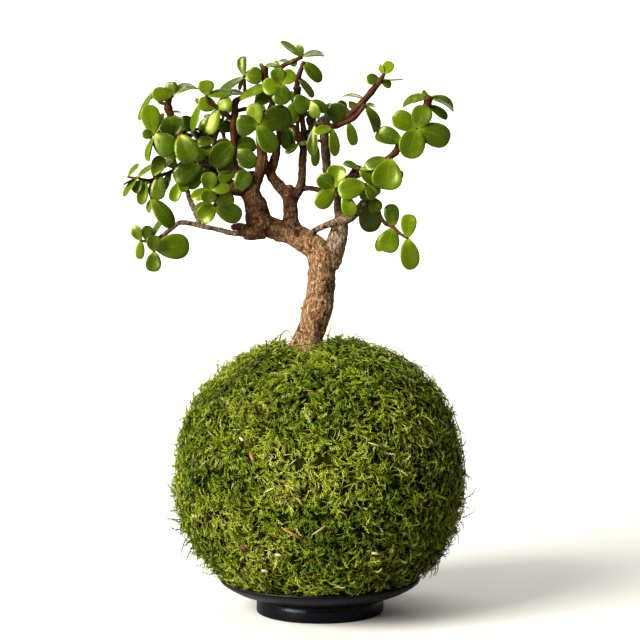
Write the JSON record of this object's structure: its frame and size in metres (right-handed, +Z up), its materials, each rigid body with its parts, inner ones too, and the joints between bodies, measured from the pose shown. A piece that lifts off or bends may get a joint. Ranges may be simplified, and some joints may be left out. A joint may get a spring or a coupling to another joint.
{
  "type": "kokedama moss ball plant",
  "caption": "Dwarf jade tree with branching trunk and fleshy oval leaves, growing from a moss-wrapped soil ball bound with thread, resting on a round footed dish.",
  "frame": {"origin": "middle of the flat underside of the dish's foot", "axes": "+Z up along the trunk, -Y towards the side the plant is shown from, +X to the viewer's right"},
  "size_m": [0.2035, 0.1703, 0.342],
  "materials": {
    "leaf": "satin",
    "bark": "matte",
    "moss": "matte",
    "soil": "matte",
    "thread": "matte",
    "dish": "satin"
  },
  "bodies": {
    "root": {"binding_thread": "thread", "dish": "dish", "moss_cover": "moss", "rear_centre_high": "leaf", "rear_centre_low": "leaf", "rear_centre_top": "leaf", "rear_left_centre": "leaf", "rear_left_high": "leaf", "rear_left_inner": "leaf", "rear_left_low": "leaf", "rear_left_middle": "leaf", "rear_left_top": "leaf", "rear_left_wide": "leaf", "rear_middle": "leaf", "rear_right_far": "leaf", "rear_right_low": "leaf", "rear_right_middle": "leaf", "rear_upper_middle": "leaf", "rear_upper_right": "leaf", "shoot_arm_front": "leaf", "shoot_arm_top": "leaf", "shoot_centre_left": "leaf", "shoot_dark_inner": "leaf", "shoot_far_left": "leaf", "shoot_grey_twig": "leaf", "shoot_hanging": "leaf", "shoot_hanging_behind": "leaf", "shoot_left_centre": "leaf", "shoot_left_front": "leaf", "shoot_left_inner": "leaf", "shoot_left_low": "leaf", "shoot_left_middle": "leaf", "shoot_left_tip": "leaf", "shoot_lower_right": "leaf", "shoot_middle_right": "leaf", "shoot_right_drop": "leaf", "shoot_right_rosette": "leaf", "shoot_right_stub": "leaf", "shoot_top_centre": "leaf", "shoot_top_left": "leaf", "shoot_top_tip": "leaf", "shoot_twig_end": "leaf", "shoot_upper_centre": "leaf", "shoot_upper_left": "leaf", "shoot_upper_left_fork": "leaf", "shoot_upper_right": "leaf", "soil_ball": "soil", "trunk": "bark"}
  },
  "joints": []
}
